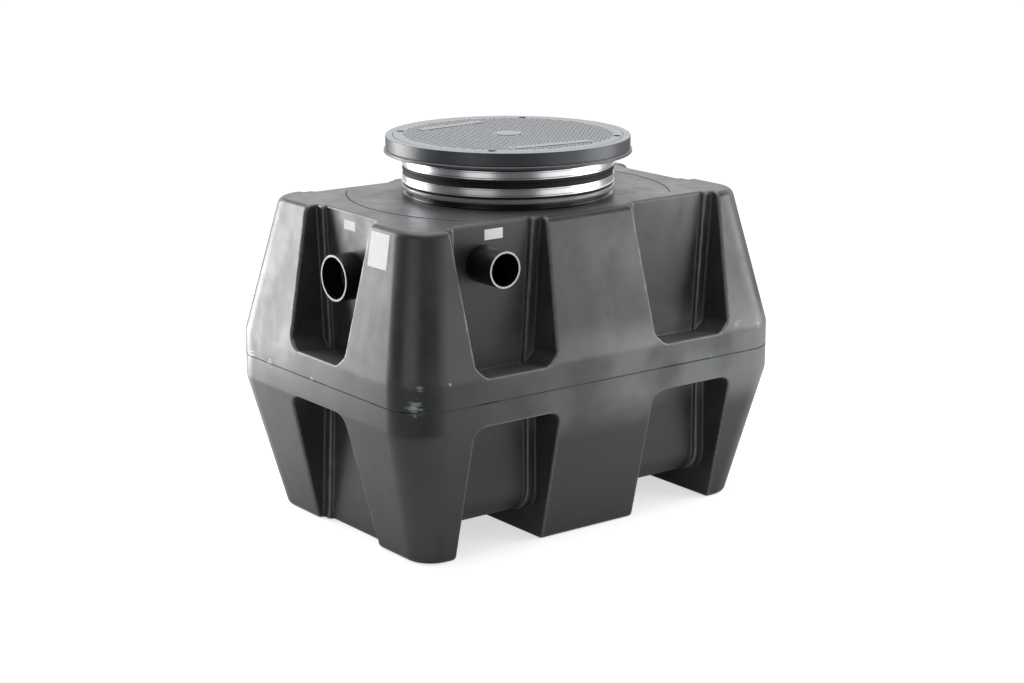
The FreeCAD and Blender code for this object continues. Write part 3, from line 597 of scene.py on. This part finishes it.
def block(outline, outward, low, high, bevel):
    """A closed block on an outline: from its low middle out to the rim, up its side, in to its high middle.

    The rims are drawn in by the bevel along the outline's outward directions.
    """
    middle = outline.mean(axis=0)
    pinched = middle + 0.001 * (outline - middle)
    inner = outline - bevel * outward
    rings = [(pinched, low), (inner, low), (outline, low + bevel),
             (outline, high - bevel), (inner, high), (pinched, high)]
    points = np.stack([np.hstack([flat, np.full((len(flat), 1), height)])
                       for flat, height in rings], axis=1)
    level = np.zeros((len(outline), 1))
    end, side = np.hstack([0.0 * outward, level + 1.0]), np.hstack([outward, level])
    normals = np.stack([-end, -end, side, side, end, end], axis=1)
    return points.reshape(-1, 3), grid_quads(len(outline), len(rings), True, False), normals.reshape(-1, 3)


def polygon(centre, radius, sides, rounding):
    """Corners of an even polygon round a centre, each with its rounding."""
    turn = 2.0 * np.pi * np.arange(sides) / sides
    return np.stack([centre[0] + radius * np.cos(turn), centre[1] + radius * np.sin(turn),
                     np.full(sides, rounding)], axis=1)


# Tumbled stainless pressings: greyer and duller than the strip, with faint uneven patches.
screw_steel, tree, shader = new_material("tumbled stainless pressing")
place = add_node(tree, "ShaderNodeTexCoord")
patches = add_node(tree, "ShaderNodeTexNoise", {"Scale": 1.0 / (8.0 * MM), "Detail": 3.0},
                   Vector=place.outputs["Object"])
tint = add_node(tree, "ShaderNodeMix", {"data_type": "RGBA", "A": linear("#77787b"), "B": linear("#949598")},
                Factor=patches.outputs["Fac"])
tree.links.new(tint.outputs["Result"], shader.inputs["Base Color"])
shader.inputs["Metallic"].default_value = 1.0
shader.inputs["Roughness"].default_value = 0.5

ALONG_X = np.array([(0, 1, 0), (0, 0, 1), (1, 0, 0)], float)
for level_name, base in BAND_BASES.items():
    height = base + BAND_HEIGHT / 2.0
    axis = (SCREW_AXIS_Y, height)
    solids = [
        block(*rounded_outline([(HOUSING_IN, height - HOUSING_HALF_HEIGHT, 1.0),
                                (HOUSING_OUT, height - HOUSING_HALF_HEIGHT, 5.0),
                                (HOUSING_OUT, height + HOUSING_HALF_HEIGHT, 5.0),
                                (HOUSING_IN, height + HOUSING_HALF_HEIGHT, 1.0)]),
              -HOUSING_HALF_LENGTH, HOUSING_HALF_LENGTH, 1.0),
        block(*rounded_outline(polygon(axis, SCREW_RADIUS, 16, 0.4), 3),
              -SCREW_HALF_LENGTH, SCREW_HALF_LENGTH, 0.6),
        block(*rounded_outline(polygon(axis, SCREW_HEAD_RADIUS, 6, 0.5), 3),
              SCREW_HALF_LENGTH - SCREW_HEAD, SCREW_HALF_LENGTH, 0.6)]
    for part_name, (points, quads, normals) in zip(("housing", "screw", "head"), solids):
        piece = mesh_piece(level_name + "_band_" + part_name, points @ ALONG_X, quads, screw_steel,
                           normals @ ALONG_X)
        if part_name == "housing":
            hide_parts(level_name + "_band_screw")

# Cover frame. A heavy ring of dark composite with a skirt inside the sleeve, a thin lip under its side and
# a rebate in its top for the lid.
OPENING, SKIRT_LOW = 244.0, 866.0
LIP_RADIUS, LIP_LOW, LIP_HIGH = 310.0, 904.5, 912.5
FRAME_RADIUS, FRAME_TOP, REBATE_RADIUS, SEAT = 306.0, 946.0, 287.5, 920.0
GROOVE_RADIUS = 302.5

# Pressed glass-filled composite: dark grey and dull, with a fine even speckle, and pale dust on its top that
# is made paler than dust alone as a painted sheen of the light glancing off the top.
cover_composite, tree, shader = new_material("pressed grey composite")
place = add_node(tree, "ShaderNodeTexCoord")
speckle = add_node(tree, "ShaderNodeTexNoise", {"Scale": 1.0 / (2.5 * MM), "Detail": 2.0},
                   Vector=place.outputs["Object"])
patches = add_node(tree, "ShaderNodeTexNoise", {"Scale": 1.0 / (90.0 * MM), "Detail": 4.0},
                   Vector=place.outputs["Object"])
mixed = add_node(tree, "ShaderNodeMath", {"operation": "MULTIPLY"},
                 i0=speckle.outputs["Fac"], i1=patches.outputs["Fac"])
grey = add_node(tree, "ShaderNodeMapRange", {"From Min": 0.12, "From Max": 0.4}, Value=mixed.outputs["Value"])
tint = add_node(tree, "ShaderNodeMix", {"data_type": "RGBA", "A": linear("#33363a"), "B": linear("#45484c")},
                Factor=grey.outputs["Result"])
# Dust and painted sheen: faces turned upward are paled, by more than dust alone would.
upward = add_node(tree, "ShaderNodeSeparateXYZ", Vector=place.outputs["Normal"])
settled = add_node(tree, "ShaderNodeMapRange", {"From Min": 0.5, "From Max": 0.95, "To Max": 0.85},
                   Value=upward.outputs["Z"])
dusty = add_node(tree, "ShaderNodeMix", {"data_type": "RGBA", "B": linear("#a0a3a6")},
                 Factor=settled.outputs["Result"], A=tint.outputs["Result"])
tree.links.new(dusty.outputs["Result"], shader.inputs["Base Color"])
dull = add_node(tree, "ShaderNodeMapRange", {"To Min": 0.36, "To Max": 0.5}, Value=settled.outputs["Result"])
tree.links.new(dull.outputs["Result"], shader.inputs["Roughness"])
pits = add_node(tree, "ShaderNodeBump", {"Strength": 0.15, "Distance": 0.3 * MM},
                Height=speckle.outputs["Fac"])
tree.links.new(pits.outputs["Normal"], shader.inputs["Normal"])

points, quads, normals = turned_surface([
    (OPENING, SKIRT_LOW, 0.8), (NECK_RADIUS, SKIRT_LOW, 0.8), (NECK_RADIUS, LIP_LOW, 3.0),
    (LIP_RADIUS, LIP_LOW, 2.0), (LIP_RADIUS, LIP_HIGH - 1.0, 1.5), (GROOVE_RADIUS, LIP_HIGH - 0.4, 0.5),
    (GROOVE_RADIUS, LIP_HIGH + 1.4, 0.5), (FRAME_RADIUS - 0.6, LIP_HIGH + 2.2, 0.6),
    (FRAME_RADIUS, FRAME_TOP, 2.2), (REBATE_RADIUS, FRAME_TOP, 1.0), (REBATE_RADIUS, SEAT, 1.0),
    (OPENING, SEAT, 1.0)], COVER_COUNT)
ring = mesh_piece("pressed_cover_frame", points, quads, cover_composite, normals)
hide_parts("cover_frame")

# Lid. A round pressed plate lies loose in the frame. Its top has a smooth rim with four lifting notches, a
# tread of low lozenges, a plain round pad in the middle and two plain raised bars.
TREAD_RADIUS, TREAD_PITCH, TREAD_ROWS, TREAD_RISE, TREAD_SUNK = 265.0, 12.5, 22, 0.9, 0.2
LOZENGE, LOZENGE_CROWN = (4.0, 2.8), (3.3, 2.1)
PAD_RADIUS, PLAIN_RISE, PLAIN_SUNK, PLAIN_BEVEL, BAR_ROUND = 34.0, 1.6, 1.0, 0.8, 6.0
# Each bar: name, the middle's x and y, half its length and width, and its lean in degrees.
BARS = (("lid_bar_rear", -41.0, 187.0, 104.0, 14.0, 4.9), ("lid_bar_front", -18.0, -205.0, 106.0, 14.0, -7.0))
for held in bpy.data.objects["lid"].material_slots:
    held.material = cover_composite

steps = np.arange(-TREAD_ROWS, TREAD_ROWS + 1)
column, row = np.meshgrid(steps, steps, indexing="ij")
centre = np.stack([column.ravel(), row.ravel()], axis=1) * TREAD_PITCH
along = np.array([1.0, -1.0]) / np.sqrt(2.0)
from_axis = np.hypot(*centre.T)
clear = (from_axis < TREAD_RADIUS - LOZENGE[0]) & (from_axis > PAD_RADIUS + LOZENGE[0])
plain = [("lid_pad", rounded_outline(polygon((0.0, 0.0), PAD_RADIUS, 48, 1.0), 2))]
for bar_name, bar_x, bar_y, half_length, half_width, bar_lean in BARS:
    turn = np.radians(bar_lean)
    turned = np.array([(np.cos(turn), np.sin(turn)), (-np.sin(turn), np.cos(turn))])
    beside = np.abs((centre - (bar_x, bar_y)) @ turned.T)
    clear &= (beside[:, 0] > half_length + LOZENGE[0]) | (beside[:, 1] > half_width + LOZENGE[1])
    outline, outward = rounded_outline([(s * half_length, t * half_width, BAR_ROUND)
                                        for s, t in QUARTERS])
    plain.append((bar_name, (outline @ turned + (bar_x, bar_y), outward @ turned)))
for piece_name, (outline, outward) in plain:
    points, quads, normals = block(outline, outward, FRAME_TOP - PLAIN_SUNK, FRAME_TOP + PLAIN_RISE,
                                   PLAIN_BEVEL)
    piece = mesh_piece(piece_name, points, quads, cover_composite, normals)
centre = centre[clear]
across = np.array([-along[1], along[0]])
rings = []
for (half_length, half_width), rise in ((LOZENGE, -TREAD_SUNK), (LOZENGE_CROWN, TREAD_RISE)):
    flat = centre[:, None] + np.stack([half_length * along, half_width * across,
                                       -half_length * along, -half_width * across])
    rings.append(np.concatenate([flat, np.full((len(centre), 4, 1), FRAME_TOP + rise)], axis=2))
points = np.concatenate(rings, axis=1).reshape(-1, 3)
one = np.array([(0, 1, 5, 4), (1, 2, 6, 5), (2, 3, 7, 6), (3, 0, 4, 7), (4, 5, 6, 7)])
faces = (np.arange(len(centre))[:, None, None] * 8 + one).reshape(-1, 4)
tread = mesh_piece("lid_tread", points, faces, cover_composite)
tread.data.set_sharp_from_angle(angle=np.radians(20.0))

# Labels. Plain white film, left bare: a large one on the near corner pillar's end face, and a small one over
# the pipe in the left end bay and in the front left bay. They are pressed on and follow the plastic.
LABEL_LIFT, LABEL_POINTS, LABEL_PASSES = 0.4, 12, 4

# Coated label film: bright white and matt, yellowed and rubbed a little in places.
label_film, tree, shader = new_material("coated white label film")
place = add_node(tree, "ShaderNodeTexCoord")
rubbed = add_node(tree, "ShaderNodeTexNoise", {"Scale": 1.0 / (25.0 * MM), "Detail": 5.0},
                  Vector=place.outputs["Object"])
tint = add_node(tree, "ShaderNodeMix", {"data_type": "RGBA", "A": linear("#eaeae7"), "B": linear("#fafaf8")},
                Factor=rubbed.outputs["Fac"])
tree.links.new(tint.outputs["Result"], shader.inputs["Base Color"])
shader.inputs["Roughness"].default_value = 0.7
shader.inputs["Specular IOR Level"].default_value = 0.2

# Each row: name, top left corner, the way to its right and the way down, as it is read.
for name, top_left, right, down in (
        ("end_pillar_label", (-512.0, -150.0, 786.0), (0.0, -77.0, 0.0), (-16.0, -6.5, -80.0)),
        ("end_bay_label", (-END_PANEL, 35.0, 778.0), (0.0, -50.0, 0.0), (0.0, 0.0, -23.0)),
        ("front_bay_label", (-290.0, -FRONT_PANEL, 783.0), (53.0, 0.0, 0.0), (0.0, 0.0, -25.0))):
    run = np.concatenate([[0.0], np.linspace(0.0, 1.0, LABEL_POINTS), [1.0]])
    lift = np.full((LABEL_POINTS, LABEL_POINTS), LABEL_LIFT)
    lift = np.pad(lift, 1, constant_values=-LABEL_LIFT).reshape(-1, 1)
    points = np.array(top_left) + run[:, None, None] * np.array(down) + run[None, :, None] * np.array(right)
    points = points.reshape(-1, 3)
    for _ in range(LABEL_PASSES):
        lean = slope(tank_distance, points)
        points = points - (tank_distance(*points.T) / (lean ** 2).sum(axis=1))[:, None] * lean
    lean = slope(tank_distance, points)
    lean = lean / np.linalg.norm(lean, axis=1, keepdims=True)
    quads = grid_quads(run.size, run.size, False, False)
    mesh_piece(name, points + lift * lean, quads, label_film, lean)

# Stage. A plain pale floor that is dim to the left, where it would fill the shaded walls, in a white studio
# whose near side is dim. Five soft lamps: a strong one behind the left end, weak ones left and right of the
# camera, a brighter one at the right and one overhead.
FLOOR_REACH = 30.0
TO_DIM_FLOOR, TO_BACKDROP = (-0.9, -0.44, 0.0), (0.6, 0.8, 0.0)
floor_paint, tree, shader = new_material("pale studio floor")
place = add_node(tree, "ShaderNodeTexCoord")
toward = add_node(tree, "ShaderNodeVectorMath", {"operation": "DOT_PRODUCT", "i1": TO_DIM_FLOOR},
                  i0=place.outputs["Object"])
dim = add_node(tree, "ShaderNodeMapRange", {"From Min": 0.7, "From Max": 1.4}, Value=toward.outputs["Value"])
tone = add_node(tree, "ShaderNodeMix", {"data_type": "RGBA", "A": linear("#e2e2e2"), "B": linear("#59595a")},
                Factor=dim.outputs["Result"])
tree.links.new(tone.outputs["Result"], shader.inputs["Base Color"])
shader.inputs["Roughness"].default_value = 1.0
shader.inputs["Specular IOR Level"].default_value = 0.0
shader.inputs["Emission Color"].default_value = (1.0, 1.0, 1.0, 1.0)
away = add_node(tree, "ShaderNodeVectorMath", {"operation": "LENGTH"}, i0=place.outputs["Object"])
pale = add_node(tree, "ShaderNodeMapRange",
                {"From Min": 0.6, "From Max": 2.5, "To Min": 0.62, "To Max": 0.85},
                Value=away.outputs["Value"])
filled = add_node(tree, "ShaderNodeMix", {"B": 1.0}, Factor=dim.outputs["Result"], A=pale.outputs["Result"])
path = add_node(tree, "ShaderNodeLightPath")
glow = add_node(tree, "ShaderNodeMath", {"operation": "MULTIPLY"}, i0=path.outputs["Is Camera Ray"],
                i1=filled.outputs["Result"])
faint = add_node(tree, "ShaderNodeMath", {"operation": "MULTIPLY_ADD", "i1": 0.09},
                 i0=path.outputs["Is Glossy Ray"], i2=glow.outputs["Value"])
tree.links.new(faint.outputs["Value"], shader.inputs["Emission Strength"])
ground = bpy.data.meshes.new("studio_floor")
ground.from_pydata([(s * FLOOR_REACH, t * FLOOR_REACH, 0.0) for s, t in QUARTERS],
                   [], [(0, 1, 2, 3)])
ground.materials.append(floor_paint)
floor = bpy.data.objects.new("studio_floor", ground)
bpy.context.collection.objects.link(floor)

world = bpy.data.worlds.new("studio")
bpy.context.scene.world = world
world.use_nodes = True
world.cycles.sampling_method = "NONE"
tree = world.node_tree
path = add_node(tree, "ShaderNodeLightPath")
place = add_node(tree, "ShaderNodeTexCoord")
back = add_node(tree, "ShaderNodeVectorMath", {"operation": "DOT_PRODUCT", "i1": TO_BACKDROP},
                i0=place.outputs["Generated"])
backdrop = add_node(tree, "ShaderNodeMapRange",
                    {"From Min": 0.0, "From Max": 0.45, "To Min": 0.14, "To Max": 1.25},
                    Value=back.outputs["Value"])
mirrored = add_node(tree, "ShaderNodeMath", {"operation": "MAXIMUM"}, i0=path.outputs["Is Glossy Ray"],
                    i1=path.outputs["Is Transmission Ray"])
around = add_node(tree, "ShaderNodeMix", {"A": 0.24},
                  Factor=mirrored.outputs["Value"], B=backdrop.outputs["Result"])
shown = add_node(tree, "ShaderNodeMix", {"B": 1.0},
                 Factor=path.outputs["Is Camera Ray"], A=around.outputs["Result"])
tree.links.new(shown.outputs["Result"], tree.nodes["Background"].inputs["Strength"])
tree.nodes["Background"].inputs["Color"].default_value = (1.0, 1.0, 1.0, 1.0)


def softbox(name, place, size, radiance, aim):
    """An oblong lamp that faces a point, out of the camera's sight, of power radiance times pi times area."""
    lamp = bpy.data.lights.new(name, "AREA")
    lamp.shape = "RECTANGLE"
    lamp.size, lamp.size_y = size
    lamp.energy = radiance * np.pi * size[0] * size[1]
    holder = bpy.data.objects.new(name, lamp)
    bpy.context.collection.objects.link(holder)
    holder.location = place
    holder.rotation_mode = "QUATERNION"
    holder.rotation_quaternion = (Vector(aim) - Vector(place)).to_track_quat("-Z", "Y")
    holder.visible_camera = False


softbox("end_lamp", (-1.16, 1.61, 0.85), (1.2, 1.7), 8.0, (-0.52, 0.01, 0.85))
softbox("strip_lamp", (-2.6, -1.1, 0.95), (1.5, 1.8), 1.15, (0.0, 0.0, 0.95))
softbox("right_lamp", (1.95, -1.5, 0.98), (1.8, 1.45), 4.0, (0.0, -0.2, 0.98))
softbox("front_lamp", (0.5, -2.35, 0.98), (1.4, 1.45), 1.25, (0.0, -0.2, 0.98))
softbox("top_lamp", (0.0, 0.0, 3.2), (2.6, 2.6), 2.8, (0.0, 0.0, 0.0))

camera = bpy.data.objects.new("camera", bpy.data.cameras.new("camera"))
bpy.context.collection.objects.link(camera)
camera.data.sensor_width = 36.0
camera.data.lens = 77.53
camera.location = (-3.2857, -4.3555, 1.7907)
camera.rotation_mode = "QUATERNION"
camera.rotation_quaternion = (Vector((0.0173, 0.0059, 0.4072)) - camera.location).to_track_quat("-Z", "Y")
bpy.context.scene.camera = camera
bpy.context.scene.view_settings.view_transform = "Standard"
